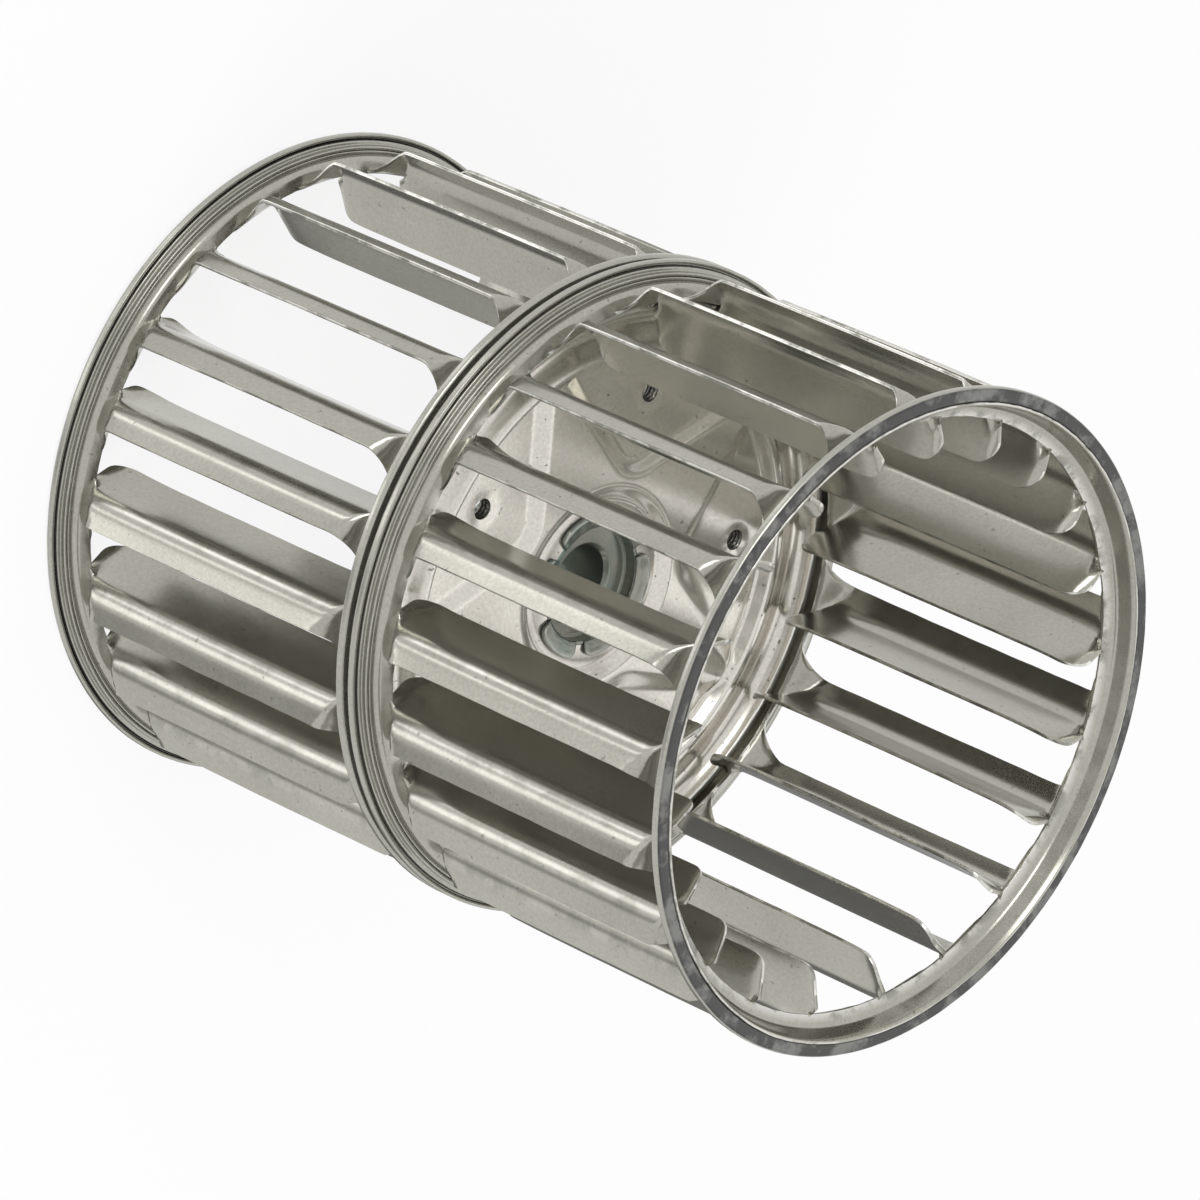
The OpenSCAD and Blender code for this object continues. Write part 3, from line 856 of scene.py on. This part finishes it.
def rectangle(name, half_w, half_h):
    """A flat object of one face about its origin, linked to the scene, with an empty material."""
    mesh = bpy.data.meshes.new(name)
    corners = [(-half_w, -half_h, 0), (half_w, -half_h, 0), (half_w, half_h, 0), (-half_w, half_h, 0)]
    mesh.from_pydata(corners, [], [(0, 1, 2, 3)])
    obj = bpy.data.objects.new(name, mesh)
    bpy.context.scene.collection.objects.link(obj)
    material = bpy.data.materials.new(name)
    material.use_nodes = True
    material.node_tree.nodes.clear()
    mesh.materials.append(material)
    return obj, material.node_tree


def pale_floor():
    floor, tree = rectangle("floor", FLOOR_HALF, FLOOR_HALF)
    floor.location.z = -END_Z * MM - FLOOR_DROP
    out = tree.nodes.new("ShaderNodeOutputMaterial")
    matte = tree.nodes.new("ShaderNodeBsdfDiffuse")
    matte.inputs[0].default_value = (*FLOOR_GREY, 1)
    glow = tree.nodes.new("ShaderNodeEmission")
    share = tree.nodes.new("ShaderNodeMath")
    share.operation = "MULTIPLY"
    share.inputs[1].default_value = FLOOR_GLOW
    tree.links.new(background_seen(tree), share.inputs[0])
    mix = tree.nodes.new("ShaderNodeMixShader")
    tree.links.new(share.outputs[0], mix.inputs[0])
    tree.links.new(matte.outputs[0], mix.inputs[1])
    tree.links.new(glow.outputs[0], mix.inputs[2])
    tree.links.new(mix.outputs[0], out.inputs[0])
    floor.visible_glossy = False


def background_seen(tree):
    """1 for camera, glossy and transmission rays, which see the background, and 0 for the others."""
    path = tree.nodes.new("ShaderNodeLightPath")
    total = path.outputs["Is Camera Ray"]
    for name in ("Is Glossy Ray", "Is Transmission Ray"):
        node = tree.nodes.new("ShaderNodeMath")
        node.operation = "MAXIMUM"
        tree.links.new(total, node.inputs[0])
        tree.links.new(path.outputs[name], node.inputs[1])
        total = node.outputs[0]
    return total


def world_light():
    world = bpy.data.worlds.new("studio")
    bpy.context.scene.world = world
    world.use_nodes = True
    tree = world.node_tree
    tree.nodes.clear()
    out = tree.nodes.new("ShaderNodeOutputWorld")
    white = tree.nodes.new("ShaderNodeBackground")
    white.inputs[0].default_value = (*WHITE, 1)
    plain = tree.nodes.new("ShaderNodeBackground")
    plain.inputs[0].default_value = (*WHITE, 1)
    plain.inputs[1].default_value = ROOM_LIGHT
    mix = tree.nodes.new("ShaderNodeMixShader")
    tree.links.new(background_seen(tree), mix.inputs[0])
    tree.links.new(plain.outputs[0], mix.inputs[1])
    tree.links.new(white.outputs[0], mix.inputs[2])
    tree.links.new(mix.outputs[0], out.inputs[0])


def soft_lamp(name, place, size, power):
    """A square area lamp that points at the wheel's middle."""
    light = bpy.data.lights.new(name, "AREA")
    light.shape = "SQUARE"
    light.size = size
    light.energy = power
    lamp = bpy.data.objects.new(name, light)
    bpy.context.scene.collection.objects.link(lamp)
    lamp.location = place
    lamp.rotation_mode = "QUATERNION"
    lamp.rotation_quaternion = (-Vector(place)).to_track_quat("-Z", "Y")
    return lamp


CARD_DISTANCE = 1.2
CARD_SOFT = 0.45

# Name, azimuth, elevation, width and height in metres, and strength of each card
CARDS = [
    ("strip_light_a", 312, -40, (0.2, 0.6), 2.8),
    ("strip_light_b", 341, -40, (0.16, 0.6), 2.5),
    ("strip_light_c", 5, -40, (0.34, 0.7), 2.4),
    ("strip_light_d", 180, 46, (0.8, 0.5), 1.35),
    ("dark_flag_a", 34, -40, (0.28, 0.8), 0.4),
    ("dark_flag_b", 144, -40, (1.2, 0.8), 0.15),
    ("dark_flag_c", 180, 10, (0.9, 0.35), 0.3),
    ("dark_flag_d", 75, 42, (0.8, 0.5), 0.35),
]


def towards(elevation, azimuth):
    e, a = math.radians(elevation), math.radians(azimuth)
    return Vector((math.cos(e) * math.cos(a), math.cos(e) * math.sin(a), math.sin(e)))


def card(name, azimuth, elevation, size, strength):
    """A soft-edged card that only reflections show: a strip light, or a grey flag where under 1."""
    w, h = size[0] / 2, size[1] / 2
    panel, tree = rectangle(name, w, h)
    away = towards(elevation, azimuth)
    panel.location = away * CARD_DISTANCE
    panel.rotation_mode = "QUATERNION"
    panel.rotation_quaternion = (-away).to_track_quat("Z", "Y")
    out = tree.nodes.new("ShaderNodeOutputMaterial")
    axes = tree.nodes.new("ShaderNodeSeparateXYZ")
    tree.links.new(tree.nodes.new("ShaderNodeTexCoord").outputs["Object"], axes.inputs[0])
    share = tree.nodes.new("ShaderNodeMath")
    share.operation = "MULTIPLY"
    for k, half in enumerate((w, h)):
        distance = tree.nodes.new("ShaderNodeMath")
        distance.operation = "ABSOLUTE"
        tree.links.new(axes.outputs[k], distance.inputs[0])
        fade = tree.nodes.new("ShaderNodeMapRange")
        fade.interpolation_type = "SMOOTHSTEP"
        fade.inputs["From Min"].default_value = half
        fade.inputs["From Max"].default_value = half * (1 - CARD_SOFT)
        tree.links.new(distance.outputs[0], fade.inputs["Value"])
        tree.links.new(fade.outputs[0], share.inputs[k])
    glow = tree.nodes.new("ShaderNodeEmission")
    glow.inputs[1].default_value = strength
    mix = tree.nodes.new("ShaderNodeMixShader")
    tree.links.new(share.outputs[0], mix.inputs[0])
    tree.links.new(tree.nodes.new("ShaderNodeBsdfTransparent").outputs[0], mix.inputs[1])
    tree.links.new(glow.outputs[0], mix.inputs[2])
    tree.links.new(mix.outputs[0], out.inputs[0])
    panel.visible_camera = False
    panel.visible_diffuse = False
    panel.visible_shadow = False
    panel.visible_transmission = False


# The photograph's camera: where it looks from, what it looks at and how far it is rolled
CAMERA_ELEVATION = 39.69
CAMERA_AZIMUTH = -0.095
CAMERA_DISTANCE = 1.6598
CAMERA_AIM = (-0.00156, 0.00212, 0.00189)
CAMERA_ROLL = 114.18
CAMERA_LENS = 269.3


def camera():
    data = bpy.data.cameras.new("photo_camera")
    data.lens = CAMERA_LENS
    data.sensor_width = 36.0
    data.sensor_fit = "HORIZONTAL"
    data.clip_start, data.clip_end = 0.05, 20
    obj = bpy.data.objects.new("photo_camera", data)
    bpy.context.scene.collection.objects.link(obj)
    back = towards(CAMERA_ELEVATION, CAMERA_AZIMUTH)
    level = (-back).to_track_quat("-Z", "Y").to_matrix()
    turn = level @ Matrix.Rotation(math.radians(CAMERA_ROLL), 3, "Z")
    obj.matrix_world = Matrix.Translation(Vector(CAMERA_AIM) + back * CAMERA_DISTANCE) @ turn.to_4x4()
    bpy.context.scene.camera = obj


def stage():
    pale_floor()
    world_light()
    key = soft_lamp("key_light", (0.35, 0.9, 1.1), size=0.7, power=9)
    key.visible_glossy = False
    soft_lamp("fill_light", (1.0, -0.7, 0.5), size=0.6, power=4)
    for values in CARDS:
        card(*values)
    camera()
    bpy.context.scene.view_settings.view_transform = "Standard"


build_wheel()
stage()
